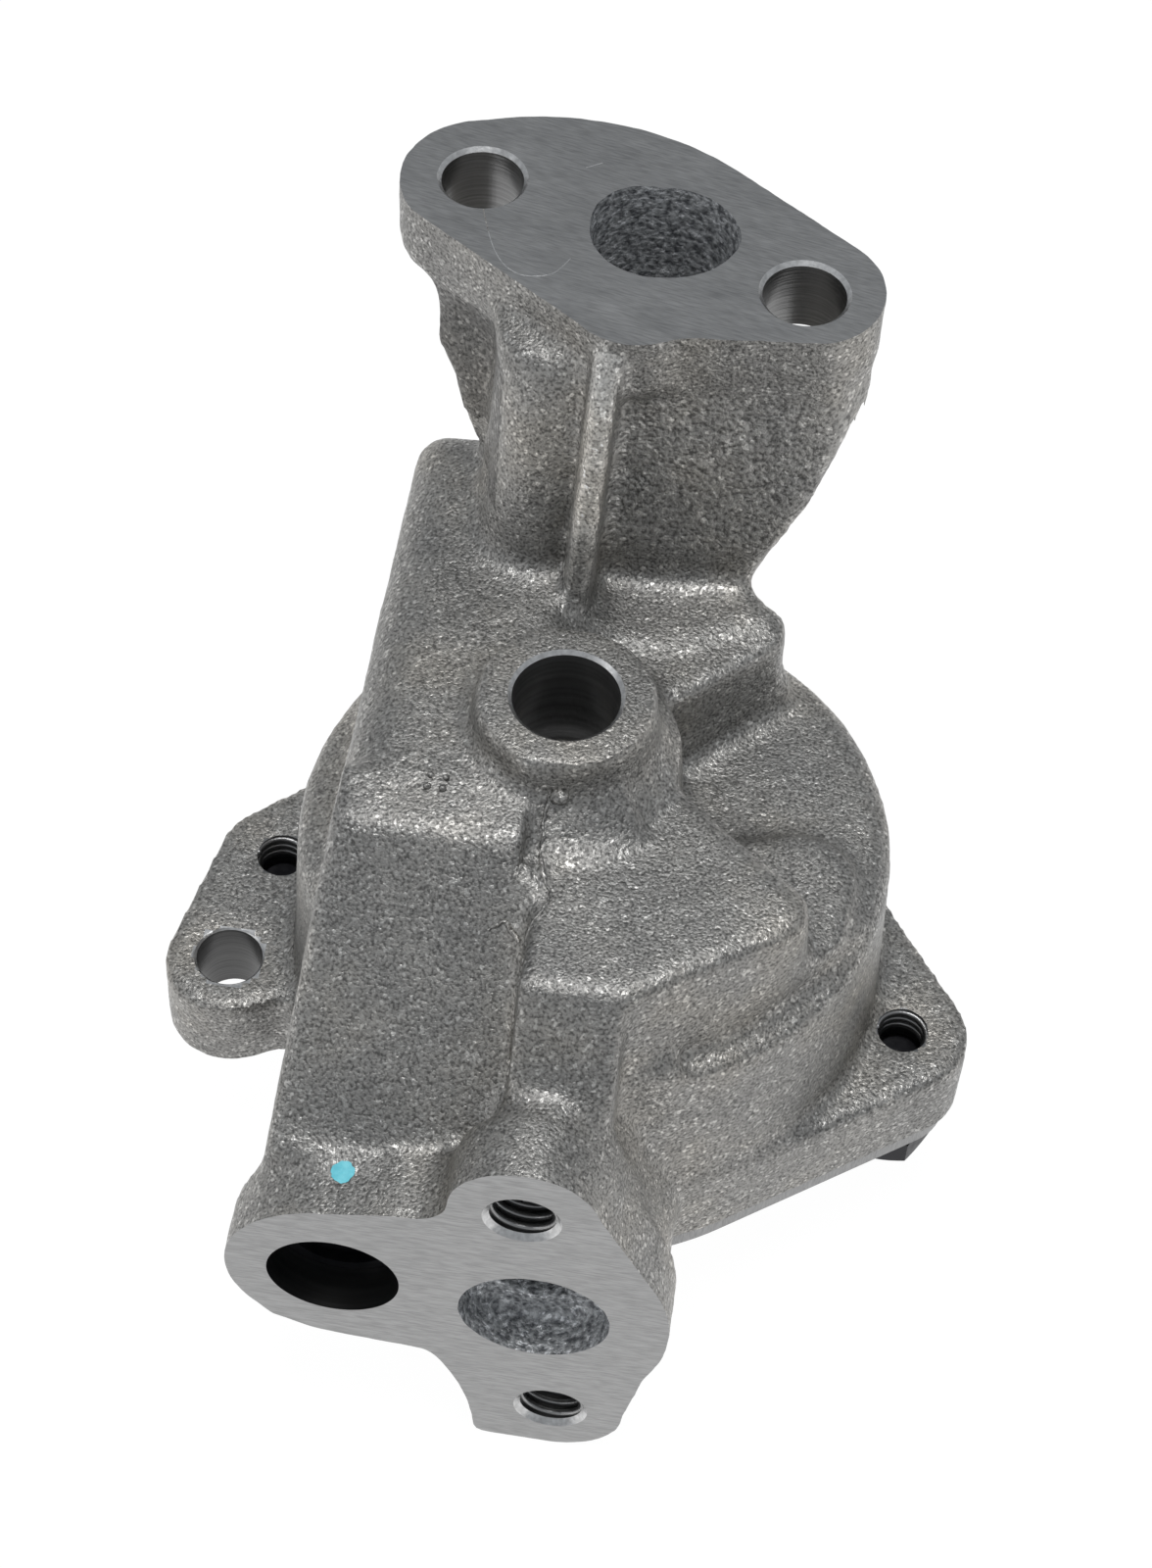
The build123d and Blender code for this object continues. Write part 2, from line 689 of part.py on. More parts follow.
def rotor_pin_shape(radius, length):
    """Cross pin through the shaft and the inner rotor, through two hollows of the rotor."""
    turn = ecc_turn + 180 / inner_lobes
    return (Pos(0, 0, rotor_base + rotor_height / 2) * Rot(0, 0, turn) * Rot(0, 90, 0)
            * Cylinder(radius, length))


def rotor_shaft():
    """Drive shaft with a hexagon socket in its upper end."""
    top = -drive_recess - end_gap
    shaft = level_prism(Circle(shaft_r), rotor_base, top)
    shaft = chamfer(shaft.edges().group_by(Axis.Z)[-1], 0.6)
    socket = level_prism(RegularPolygon(hex_flats / 2, 6, major_radius=False), top - hex_depth, top + 1)
    return shaft - socket - rotor_pin_shape(pin_r + run_gap / 2, 4 * shaft_r)


def rotor_pin():
    """The cross pin."""
    hollow_r = lobe_circle_r - ecc - lobe_r - mesh_gap
    return rotor_pin_shape(pin_r, 2 * (hollow_r - pin_inset))


# Relief valve

def relief_piston():
    """Cup piston, its closed end to the pressure side."""
    place = facing(relief_seat_y - run_gap) * Pos(relief_x, relief_z)
    body = extrude(place * Circle(relief_r - run_gap), amount=piston_length)
    body = chamfer(body.edges().group_by(Axis.Y)[-1], 0.4)
    return body - extrude(facing(relief_seat_y - run_gap - piston_crown) * Pos(relief_x, relief_z)
                          * Circle(relief_r - run_gap - piston_wall), amount=piston_length)


retainer_y = relief_seat_y - run_gap - piston_length - piston_travel - stop_gap


def relief_retainer():
    """Pressed cup that holds the spring, with a vent hole."""
    place = facing(retainer_y) * Pos(relief_x, relief_z)
    cup = extrude(place * Circle(relief_r - run_gap / 2), amount=retainer_skirt)
    hollow = extrude(facing(retainer_y - retainer_thickness) * Pos(relief_x, relief_z)
                     * Circle(relief_r - retainer_thickness), amount=retainer_skirt)
    vent = extrude(place * Circle(retainer_hole_r), amount=retainer_skirt)
    return cup - hollow - vent


def relief_spring():
    """Coil spring between the piston crown and the retainer."""
    start = relief_seat_y - run_gap - piston_crown
    length = start - retainer_y - 2 * spring_wire_r - 0.2
    mean_r = relief_r - run_gap - piston_wall - spring_wire_r - 0.5
    path = Helix(pitch=length / spring_turns, height=length, radius=mean_r)
    wire_plane = Plane(origin=path @ 0, z_dir=path % 0)
    coil = sweep(wire_plane * Circle(spring_wire_r), path=path)
    return facing(start - spring_wire_r - 0.1) * Pos(relief_x, relief_z) * coil


def main():
    """Write one STEP file per piece."""
    pieces = {
        "pump_housing": pump_housing(),
        "cover_plate": cover_plate(),
        "rotor_shaft": rotor_shaft(),
        "inner_rotor": inner_rotor(),
        "outer_rotor": outer_rotor(),
        "rotor_pin": rotor_pin(),
        "relief_piston": relief_piston(),
        "relief_spring": relief_spring(),
        "relief_retainer": relief_retainer(),
    }
    for name in bolt_angles:
        pieces["cover_bolt_" + name] = cover_bolt(name)
        pieces["lock_washer_" + name] = lock_washer(name)
    os.makedirs("parts", exist_ok=True)
    for name, shape in pieces.items():
        export_step(shape, os.path.join("parts", name + ".step"))


main()
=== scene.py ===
import bpy
import bmesh
import random
from math import cos, hypot, radians, sin
from mathutils import Matrix, Vector


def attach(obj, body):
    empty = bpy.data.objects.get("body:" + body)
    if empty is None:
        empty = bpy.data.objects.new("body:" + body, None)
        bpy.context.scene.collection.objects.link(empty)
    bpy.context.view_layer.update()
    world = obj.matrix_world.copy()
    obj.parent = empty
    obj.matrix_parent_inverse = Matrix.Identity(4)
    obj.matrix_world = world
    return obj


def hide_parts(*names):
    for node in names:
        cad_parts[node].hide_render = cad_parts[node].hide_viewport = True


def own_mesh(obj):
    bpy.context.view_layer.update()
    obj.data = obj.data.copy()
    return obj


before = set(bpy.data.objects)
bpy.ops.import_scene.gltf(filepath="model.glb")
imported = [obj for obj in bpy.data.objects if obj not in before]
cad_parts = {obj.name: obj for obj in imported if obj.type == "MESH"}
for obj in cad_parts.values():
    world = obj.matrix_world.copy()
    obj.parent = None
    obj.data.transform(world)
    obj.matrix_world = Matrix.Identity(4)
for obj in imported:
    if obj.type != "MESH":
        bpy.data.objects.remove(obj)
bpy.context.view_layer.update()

# Studio: the view of the photograph, a soft lamp overhead, weak fills and a plain white floor.
# The pump rests on the tail of its pickup end and on the head of its rear cover bolt, so the floor
# leans a little in the pump's own frame. It can be seen through from below.
camera_data = bpy.data.cameras.new("studio_camera")
camera_data.lens = 74.75
camera_data.sensor_width = 36
camera_data.clip_start = 0.01
camera_data.clip_end = 20
camera = bpy.data.objects.new("studio_camera", camera_data)
bpy.context.collection.objects.link(camera)
azimuth, elevation, roll = 0.0939382, 0.9184278, 0.0590967
back = Vector((sin(azimuth) * cos(elevation), -cos(azimuth) * cos(elevation), sin(elevation)))
right = Vector((cos(azimuth), sin(azimuth), 0))
up = back.cross(right)
side_axis = cos(roll) * right + sin(roll) * up
up_axis = -sin(roll) * right + cos(roll) * up
camera.matrix_world = Matrix((
    (side_axis.x, up_axis.x, back.x, 0.02382),
    (side_axis.y, up_axis.y, back.y, -0.23478),
    (side_axis.z, up_axis.z, back.z, 0.29213),
    (0, 0, 0, 1)))
bpy.context.scene.camera = camera
bpy.context.scene.view_settings.view_transform = "Standard"


def soft_lamp(name, place, aim, width, power):
    """Square area lamp that looks at a point."""
    data = bpy.data.lights.new(name, "AREA")
    data.shape = "RECTANGLE"
    data.size = width
    data.size_y = width * 0.8
    data.energy = power
    lamp = bpy.data.objects.new(name, data)
    bpy.context.collection.objects.link(lamp)
    lamp.location = place
    lamp.rotation_euler = (Vector(aim) - Vector(place)).to_track_quat("-Z", "Y").to_euler()


soft_lamp("overhead_lamp", (0.02, -0.06, 0.62), (0, 0, -0.03), 0.36, 2.3)
soft_lamp("left_lamp", (-0.62, -0.30, 0.22), (0, 0, -0.03), 0.35, 0.45)

world = bpy.data.worlds.new("studio")
bpy.context.scene.world = world
world.use_nodes = True
sky = world.node_tree
sky.nodes.clear()
path = sky.nodes.new("ShaderNodeLightPath")
seen = sky.nodes.new("ShaderNodeMath")
seen.operation = "MAXIMUM"
sky.links.new(path.outputs["Is Camera Ray"], seen.inputs[0])
sky.links.new(path.outputs["Is Transmission Ray"], seen.inputs[1])
dim = sky.nodes.new("ShaderNodeBackground")
dim.inputs["Color"].default_value = (0.92, 0.96, 1.0, 1)
dim.inputs["Strength"].default_value = 0.42
white = sky.nodes.new("ShaderNodeBackground")
white.inputs["Color"].default_value = (1, 1, 1, 1)
white.inputs["Strength"].default_value = 1.0
blend = sky.nodes.new("ShaderNodeMixShader")
out = sky.nodes.new("ShaderNodeOutputWorld")
sky.links.new(seen.outputs[0], blend.inputs[0])
sky.links.new(dim.outputs[0], blend.inputs[1])
sky.links.new(white.outputs[0], blend.inputs[2])
sky.links.new(blend.outputs[0], out.inputs["Surface"])

tail_foot = Vector((0.003, -0.0524, -0.0838))
rear_foot = Vector((0.003, 0.0475, -0.0703))
floor_normal = Vector((1, 0, 0)).cross(rear_foot - tail_foot).normalized()
bpy.ops.mesh.primitive_circle_add(vertices=64, radius=6.0, fill_type="NGON")
floor = bpy.context.object
floor.name = "studio_floor"
floor.matrix_world = Matrix.Translation(tail_foot - floor_normal * 0.0004) @ \
    floor_normal.to_track_quat("Z", "Y").to_matrix().to_4x4()
floor_paint = bpy.data.materials.new("white_floor")
floor_paint.use_nodes = True
tree = floor_paint.node_tree
tree.nodes.clear()
path = tree.nodes.new("ShaderNodeLightPath")
seen = tree.nodes.new("ShaderNodeMath")
seen.operation = "MAXIMUM"
tree.links.new(path.outputs["Is Camera Ray"], seen.inputs[0])
tree.links.new(path.outputs["Is Transmission Ray"], seen.inputs[1])
mirrored = tree.nodes.new("ShaderNodeMath")
mirrored.operation = "MAXIMUM"
tree.links.new(seen.outputs[0], mirrored.inputs[0])
tree.links.new(path.outputs["Is Glossy Ray"], mirrored.inputs[1])
share = tree.nodes.new("ShaderNodeMath")
share.operation = "MULTIPLY"
share.inputs[1].default_value = 0.93
tree.links.new(mirrored.outputs[0], share.inputs[0])
chalk = tree.nodes.new("ShaderNodeBsdfDiffuse")
chalk.inputs["Color"].default_value = (0.85, 0.85, 0.85, 1)
glow = tree.nodes.new("ShaderNodeEmission")
glow.inputs["Strength"].default_value = 1.05
blend = tree.nodes.new("ShaderNodeMixShader")
out = tree.nodes.new("ShaderNodeOutputMaterial")
tree.links.new(share.outputs[0], blend.inputs[0])
tree.links.new(chalk.outputs[0], blend.inputs[1])
tree.links.new(glow.outputs[0], blend.inputs[2])
below = tree.nodes.new("ShaderNodeNewGeometry").outputs["Backfacing"]
clear = tree.nodes.new("ShaderNodeBsdfTransparent")
sides = tree.nodes.new("ShaderNodeMixShader")
tree.links.new(below, sides.inputs[0])
tree.links.new(blend.outputs[0], sides.inputs[1])
tree.links.new(clear.outputs[0], sides.inputs[2])
tree.links.new(sides.outputs[0], out.inputs["Surface"])
floor.data.materials.append(floor_paint)

# Housing: one grey iron sand casting. Its skin is grainy and sparkles, its corners are rounded
# by the mould, and its joint faces, bores and threaded holes are cut in afterwards.


def metal(name, colour, metallic, roughness):
    """New metal with its shader, Object coordinates and a helper for more nodes."""
    material = bpy.data.materials.new(name)
    material.use_nodes = True
    tree = material.node_tree
    shader = tree.nodes["Principled BSDF"]
    shader.inputs["Base Color"].default_value = (*colour, 1)
    shader.inputs["Metallic"].default_value = metallic
    shader.inputs["Roughness"].default_value = roughness
    place = tree.nodes.new("ShaderNodeTexCoord").outputs["Object"]
    return material, tree, shader, place


def pattern(tree, place, kind, scale, detail=2.0, stretch=None, turn=(0, 0, 0)):
    """Noise or random cells on Object coordinates, drawn out along turned axes if asked."""
    if stretch:
        mapping = tree.nodes.new("ShaderNodeMapping")
        mapping.vector_type = "TEXTURE"
        mapping.inputs["Scale"].default_value = stretch
        mapping.inputs["Rotation"].default_value = turn
        tree.links.new(place, mapping.inputs["Vector"])
        place = mapping.outputs["Vector"]
    if kind == "cells":
        node = tree.nodes.new("ShaderNodeTexVoronoi")
        node.inputs["Scale"].default_value = scale
        tree.links.new(place, node.inputs["Vector"])
        return node.outputs["Color"]
    node = tree.nodes.new("ShaderNodeTexNoise")
    node.inputs["Scale"].default_value = scale
    node.inputs["Detail"].default_value = detail
    tree.links.new(place, node.inputs["Vector"])
    return node.outputs["Fac"]


def ramp(tree, source, stops):
    """Colour ramp with stops given as position and a grey or a colour."""
    node = tree.nodes.new("ShaderNodeValToRGB")
    while len(node.color_ramp.elements) < len(stops):
        node.color_ramp.elements.new(0.5)
    for element, (position, colour) in zip(node.color_ramp.elements, stops):
        element.position = position
        element.color = (*colour, 1) if isinstance(colour, tuple) else (colour, colour, colour, 1)
    tree.links.new(source, node.inputs["Fac"])
    return node.outputs["Color"]


def relief(tree, shader, source, distance, strength, after=None):
    """Bump from a pattern, on top of an earlier bump if there is one."""
    node = tree.nodes.new("ShaderNodeBump")
    node.inputs["Strength"].default_value = strength
    node.inputs["Distance"].default_value = distance
    tree.links.new(source, node.inputs["Height"])
    if after:
        tree.links.new(after, node.inputs["Normal"])
    tree.links.new(node.outputs["Normal"], shader.inputs["Normal"])
    return node.outputs["Normal"]


def mixed(tree, one, two, share, mode="MIX"):
    """Mix of two colours, the share a number or a pattern."""
    node = tree.nodes.new("ShaderNodeMix")
    node.data_type = "RGBA"
    node.blend_type = mode
    tree.links.new(one, node.inputs["A"])
    tree.links.new(two, node.inputs["B"])
    if isinstance(share, float):
        node.inputs["Factor"].default_value = share
    else:
        tree.links.new(share, node.inputs["Factor"])
    return node.outputs["Result"]


def sand_cast(name, light, coarse):
    """Grey iron as it leaves the sand: warm stains, dark pits and small bright facets."""
    material, tree, shader, place = metal(name, (0.34, 0.335, 0.32), 0.86, 0.44)
    grain = pattern(tree, place, "noise", 2700 / coarse, 3)
    lumps = pattern(tree, place, "noise", 1050 / coarse, 2)
    glints = pattern(tree, place, "cells", 2500 / coarse)
    stains = pattern(tree, place, "noise", 70, 4)
    tone = ramp(tree, stains, [(0.36, (0.30 * light, 0.295 * light, 0.285 * light)),
                               (0.5, (0.345 * light, 0.337 * light, 0.322 * light)),
                               (0.66, (0.385 * light, 0.368 * light, 0.34 * light))])
    speck = ramp(tree, grain, [(0.34, 0.36), (0.5, 0.86), (0.64, 1.1)])
    bright = ramp(tree, glints, [(0.72, 0.97), (0.9, 1.9)])
    skin = mixed(tree, mixed(tree, tone, speck, 1.0, "MULTIPLY"), bright, 1.0, "MULTIPLY")
    tree.links.new(skin, shader.inputs["Base Color"])
    tree.links.new(ramp(tree, glints, [(0.3, 0.52), (0.8, 0.33)]), shader.inputs["Roughness"])
    bump = relief(tree, shader, lumps, 0.00016 * coarse ** 1.8, 0.7)
    relief(tree, shader, grain, 0.00015 * coarse ** 1.6, 1.0, bump)
    return material


cast_skin = sand_cast("cast_skin", 1.0, 1.0)
rough_skin = sand_cast("rough_skin", 1.12, 1.6)
# shaded_skin is the same skin at half brightness: painted shade on the pocket left of the neck, under the
# flange.
shaded_skin = sand_cast("shaded_skin", 0.5, 1.3)
# The rib's copy of the skin has the same grain but is 1.65 times lighter: a painted highlight along the ridge.
rib_highlight_skin = sand_cast("rib_painted_highlight_skin", 1.65, 1.0)

port_skin, tree, shader, place = metal("port_skin", (0.36, 0.37, 0.38), 0.5, 0.36)
sand = pattern(tree, place, "noise", 1300, 3)
glints = pattern(tree, place, "cells", 1600)
tone = ramp(tree, sand, [(0.34, (0.15, 0.155, 0.165)), (0.62, (0.62, 0.63, 0.64))])
spark = ramp(tree, glints, [(0.7, 1.0), (0.85, 1.8)])
tree.links.new(mixed(tree, tone, spark, 1.0, "MULTIPLY"), shader.inputs["Base Color"])
tree.links.new(ramp(tree, glints, [(0.3, 0.48), (0.8, 0.26)]), shader.inputs["Roughness"])
relief(tree, shader, sand, 0.0005, 1.0)


def milled(name, turn):
    """Face left by a milling cutter, with fine lines along one direction."""
    material, tree, shader, place = metal(name, (0.36, 0.36, 0.36), 0.95, 0.36)
    lines = pattern(tree, place, "noise", 4200, 2, (9, 1, 9), turn)
    broad = pattern(tree, place, "noise", 300, 3, (3, 1, 3), turn)
    tone = ramp(tree, lines, [(0.32, 0.285), (0.68, 0.395)])
    cloud = ramp(tree, broad, [(0.3, 0.94), (0.7, 1.04)])
    tree.links.new(mixed(tree, tone, cloud, 1.0, "MULTIPLY"), shader.inputs["Base Color"])
    tree.links.new(ramp(tree, broad, [(0.3, 0.34), (0.7, 0.44)]), shader.inputs["Roughness"])
    relief(tree, shader, lines, 0.00003, 0.6)
    return material


flange_face = milled("milled_flange", (0, 0, radians(-12)))
pickup_face = milled("milled_pickup", (radians(90), 0, 0))


def bored(name, stretch, shade, rings_scale=1500):
    """Wall left by a drill or reamer, with fine rings round the hole."""
    material, tree, shader, place = metal(name, (shade, shade, shade), 0.95, 0.32)
    rings = pattern(tree, place, "noise", rings_scale, 3, stretch)
    tree.links.new(ramp(tree, rings, [(0.32, 0.8 * shade), (0.68, 1.15 * shade)]), shader.inputs["Base Color"])
    relief(tree, shader, rings, 0.00006, 0.6)
    return material


drilled = bored("drilled_wall", (40, 40, 1), 0.22, 3500)
reamed = bored("reamed_wall", (40, 1, 40), 0.12)
drive_wall = bored("drive_bore_wall", (40, 40, 1), 0.36, 1400)
# The brace hole's wall is a darker copy of the drilled wall: painted shade for the shadow inside that hole.
brace_wall_painted_shade = bored("brace_wall_painted_shade", (40, 40, 1), 0.09, 3500)
chamfered = bored("chamfer_cut", (1, 1, 1), 0.60)
finishes = (cast_skin, flange_face, pickup_face, drilled, reamed, port_skin, drive_wall, chamfered, rough_skin,
            rib_highlight_skin, shaded_skin, brace_wall_painted_shade)

# levels of the milled faces, axis of the round rotor case, and places of the holes
mount_z, pickup_y, joint_z = 0.030, -0.0524, -0.0595
case_x, case_y = 0.0044, -0.0006
left_hole, right_hole, brace_hole = (-0.018453, 0.051875), (0.021092, 0.039285), (-0.0398, -0.0102)
upper_screw, lower_screw, relief_bore = (0.00344, 0, -0.02965), (0.0080, 0, -0.0748), (-0.01873, 0, -0.0490)
stock = 0.002
casting = bpy.data.objects.new("housing_casting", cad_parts["pump_housing"].data.copy())
bpy.context.collection.objects.link(casting)
mesh = bmesh.new()
mesh.from_mesh(casting.data)
bmesh.ops.remove_doubles(mesh, verts=mesh.verts, dist=2e-6)
for vert in mesh.verts:
    x, y, z = vert.co
    if abs(z - mount_z) < 1e-5:
        vert.co.z += stock
    if abs(z - joint_z) < 1e-5:
        vert.co.z -= stock
    if abs(y - pickup_y) < 1e-5:
        vert.co.y -= stock
mesh.to_mesh(casting.data)
mesh.free()


def bar(outline, low, high):
    """Closed upright bar with a plan outline in millimetres."""
    bpy.ops.mesh.primitive_circle_add(vertices=len(outline), radius=0.01, fill_type="NGON")
    prism = bpy.context.object
    for vert, (x, y) in zip(prism.data.vertices, outline):
        vert.co = (x / 1000, y / 1000, low / 1000)
    bpy.ops.object.mode_set(mode="EDIT")
    bpy.ops.mesh.select_all(action="SELECT")
    bpy.ops.mesh.extrude_region_move(TRANSFORM_OT_translate={"value": (0, 0, (high - low) / 1000)})
    bpy.ops.mesh.select_all(action="SELECT")
    bpy.ops.mesh.normals_make_consistent(inside=False)
    bpy.ops.object.mode_set(mode="OBJECT")
    return prism


# each bore: centre, direction out of the metal, radius, start and end along that direction
across_y = Vector((0, -1, 0))
upward = Vector((0, 0, 1))
ear_places = {"right": (0.04513, -0.00742), "rear": (0.00116, 0.04057), "left": (-0.03633, 0.00622),
              "front": (-0.00298, -0.03686)}
bores = [
    ((*left_hole, 0), upward, 0.0049, 0.015, 0.036),
    ((*right_hole, 0), upward, 0.0049, 0.015, 0.036),
    ((0, 0, 0), upward, 0.00635, -0.017, 0.006),
    ((0, 0, 0), upward, 0.00605, -0.030, 0.006),
    (upper_screw, across_y, 0.0039, 0.0414, 0.058),
    (lower_screw, across_y, 0.0039, 0.040, 0.058),
    (relief_bore, across_y, 0.00794, 0.029, 0.058),
    (relief_bore, across_y, 0.00664, 0.0276, 0.058),
    ((*brace_hole, 0), upward, 0.00415, -0.066, -0.040),
    ((case_x, case_y, 0), upward, 0.02858, -0.066, -0.0290),
]
fills = [
    ((*left_hole, 0), upward, 0.0058, 0.0207, 0.032),
    ((*right_hole, 0), upward, 0.0058, 0.0207, 0.032),
    ((0, 0, 0), upward, 0.0078, -0.026, 0.0),
    (upper_screw, across_y, 0.0052, 0.038, 0.0544),
    (lower_screw, across_y, 0.0052, 0.0448, 0.0544),
    (relief_bore, across_y, 0.0092, 0.0262, 0.0544),
    ((*brace_hole, 0), upward, 0.0052, -0.0615, -0.0483),
]
for name, (x, y) in ear_places.items():
    top = -0.0495 if name in ("rear", "front") else -0.044
    bores.append(((x, y, 0), upward, 0.0032, -0.066, top))
    fills.append(((x, y, 0), upward, 0.0044, -0.0615, -0.0485))


def rod(centre, direction, radius, low, high, sides=96):
    """Closed round bar along a direction."""
    bpy.ops.mesh.primitive_cylinder_add(vertices=sides, radius=radius, depth=high - low)
    stem = bpy.context.object
    middle = Vector(centre) + direction * (low + high) / 2
    stem.matrix_world = Matrix.Translation(middle) @ direction.to_track_quat("Z", "X").to_matrix().to_4x4()
    return stem


def only(*objects):
    """Select just these objects, the first one active."""
    bpy.ops.object.select_all(action="DESELECT")
    for one in objects:
        one.select_set(True)
    bpy.context.view_layer.objects.active = objects[0]


# the fold over the sloping front, and the full front wall of the boss under the neck
fold = bar([(-24.4, -9.5), (-0.3, -9.5), (-0.3, -17.2), (-24.6, -17.2)], -12, -6)
for vert in fold.data.vertices:
    upper = vert.co.z > -0.009
    if vert.co.y > -0.012:
        vert.co.z = -0.0051 if upper else -0.0115
    elif upper:
        vert.co.z = -0.0058
    else:
        vert.co.y, vert.co.z = -0.0436, -0.0334
        vert.co.x = 0.001 if vert.co.x > -0.01 else -0.0273
hub_ramp = bar([(0.2, -7.5), (0.2, -16.0), (6.0, -15.4), (11.0, -11.8), (7.6, -6.8)], -14, -9.2)
for vert in hub_ramp.data.vertices:
    if vert.co.z > -0.010 and vert.co.length < 0.0142:
        vert.co.z = -0.0030
boss_front = bar([(3, 10), (13.0, 10.6), (19.8, 16.9), (24.0, 21.3), (24.2, 25), (17, 30), (2, 28)], -25, -10.4)


def cut(target, cutters):
    """Cut closed bodies out of the casting, one after another."""
    for cutter in cutters:
        only(target)
        step = target.modifiers.new("cut", "BOOLEAN")
        step.operation = "DIFFERENCE"
        step.solver = "MANIFOLD"
        step.object = cutter
        bpy.ops.object.modifier_apply(modifier="cut")
        bpy.data.objects.remove(cutter)


# upright left flank of the shoulder, room in front of the boss wall, ledge below the shoulder
flank_room = bar([(-12, -17.2), (-0.3, -17.2), (-0.3, -43.8), (-12, -43.8)], -8.5, -3)
for vert in flank_room.data.vertices:
    if vert.co.z < -0.005 and vert.co.y < -0.03:
        vert.co.z = -0.0342
ledge_room = bar([(17.8, -30.7), (22.4, -28.3), (27.7, -23.9), (31.4, -19.5), (35.0, -14.9), (38.7, -9.8),
                  (42.5, -8.9), (43.0, -20.0), (38.0, -30.0), (21.1, -38.1)], -24.0, -8)
for vert in ledge_room.data.vertices:
    if vert.co.z < -0.020:
        vert.co.z = -0.0250 - 0.3 * max(0.0, hypot(vert.co.x - case_x, vert.co.y - case_y) - 0.033)
cut(casting, [flank_room, ledge_room,
              bar([(13.9, 10.4), (16.2, 5.0), (21, 4), (35, 18), (28.0, 24.3)], -23, -12)])
plugs = [rod(*fill, sides=32) for fill in fills] + [fold, hub_ramp, boss_front]
only(casting, *plugs)
bpy.ops.object.join()
casting.data.materials.clear()
for finish in finishes:
    casting.data.materials.append(finish)
remesh = casting.modifiers.new("mould", "REMESH")
remesh.mode = "VOXEL"
remesh.voxel_size = 0.0009
bpy.ops.object.modifier_apply(modifier="mould")

rounding = casting.vertex_groups.new(name="rounding")
pebbles = casting.vertex_groups.new(name="pebbles")
for vert in casting.data.vertices:
    x, y, z = vert.co
    weight, rough = 0.45, 0.4
    if z > 0.018:
        weight = 0.16
    if z < -0.046:
        weight = 0.25
    if -0.046 < y < 0.034 and -0.030 < z < -0.003 and x < 0.036:
        weight = 0.55
    if 0.0145 < y < 0.034 and -0.010 < z < 0.001:
        weight = 1.0
    if -0.022 < x < 0.001 and y < 0.044 and 0.006 < z < 0.0235:
        weight = 0.9
    if -0.006 < x < 0.0022 and -0.044 < y < -0.019:
        weight = 0.2
    if hypot(x - case_x, y - case_y) > 0.028 and -0.038 < z < -0.016 and x > 0.012 and y < 0.012:
        weight = 0.18
    if hypot(x, y) < 0.0165 and z > -0.0115:
        weight = 0.3
        rough = 0.0 if z > -0.0012 else 0.3
    if z > -0.004 and 0.004 < x < 0.022 and 0.016 < y < 0.034:
        rough = 1.0
    rounding.add([vert.index], weight, "REPLACE")
    pebbles.add([vert.index], rough, "REPLACE")
large = casting.vertex_groups.new(name="large_rounding")


def near(value, low, high, soft):
    """Weight of 1 between two bounds, fading out over a soft margin."""
    return max(0.0, min(1.0, (value - low) / soft + 1, (high - value) / soft + 1))


for vert in casting.data.vertices:
    x, y, z = vert.co
    flare = near(x, -0.022, -0.0045, 0.002) * near(y, 0.0, 0.044, 0.003) * near(z, 0.006, 0.0225, 0.003)
    underside = near(x, 0.006, 0.021, 0.003) * near(y, 0.0, 0.040, 0.003) * near(z, 0.013, 0.0215, 0.004)
    large.add([vert.index], max(flare, underside), "REPLACE")
for group, steps in (("rounding", 17), ("large_rounding", 30)):
    smooth = casting.modifiers.new(group, "SMOOTH")
    smooth.factor = 0.5
    smooth.iterations = steps
    smooth.vertex_group = group
    bpy.ops.object.modifier_apply(modifier=group)


# the mould let the rib lean over to the left towards its foot
rib_lean, rib_height = 0.0021, 0.038
for vert in casting.data.vertices:
    x, y, z = vert.co
    if y < 0.030 and -0.009 < z < mount_z:
        vert.co.x -= rib_lean * max(0.0, 1 - abs(x) / 0.006) * (mount_z - z) / rib_height


def sand_waves(name, grain_size, height, group):
    """Raise and lower the casting's skin with a cloudy pattern."""
    swell = bpy.data.textures.new(name, "CLOUDS")
    swell.noise_scale = grain_size
    waves = casting.modifiers.new(name, "DISPLACE")
    waves.texture = swell
    waves.texture_coords = "LOCAL"
    waves.strength = height
    waves.mid_level = 0.5
    waves.vertex_group = group
    bpy.ops.object.modifier_apply(modifier=name)


sand_waves("sand_swell", 0.009, 0.0006, "rounding")
sand_waves("sand_pebbles", 0.0016, 0.0005, "pebbles")


def block(low, high):
    """Closed box between two corners."""
    bpy.ops.mesh.primitive_cube_add(size=1, location=(Vector(low) + Vector(high)) / 2)
    box = bpy.context.object
    box.scale = Vector(high) - Vector(low)
    return box


faces = [block((-0.04, 0.020, mount_z), (0.045, 0.075, mount_z + 0.01)),
         block((-0.045, -0.065, -0.100), (0.045, pickup_y, 0.0)),
         block((-0.060, -0.0444, -0.075), (0.070, 0.070, joint_z))]
cut(casting, faces)
cut(casting, [rod(*bore) for bore in bores])
# each chamfer: mouth of the hole, direction out of the metal, radius of the hole, size
cones = [
    ((*left_hole, mount_z), upward, 0.0049, 0.0005),
    ((*right_hole, mount_z), upward, 0.0049, 0.0005),
    ((0, 0, 0), upward, 0.00635, 0.00045),
    ((*brace_hole, -0.048), upward, 0.00415, 0.0004),
    ((upper_screw[0], pickup_y, upper_screw[2]), across_y, 0.0034, 0.0012),
    ((lower_screw[0], pickup_y, lower_screw[2]), across_y, 0.0034, 0.0012),
]
chamfers = []
for mouth, direction, radius, size in cones:
    bpy.ops.mesh.primitive_cone_add(vertices=96, radius1=radius, radius2=radius + 2 * size, depth=2 * size)
    cone = bpy.context.object
    cone.matrix_world = Matrix.Translation(mouth) @ direction.to_track_quat("Z", "X").to_matrix().to_4x4()
    chamfers.append(cone)
cut(casting, chamfers)


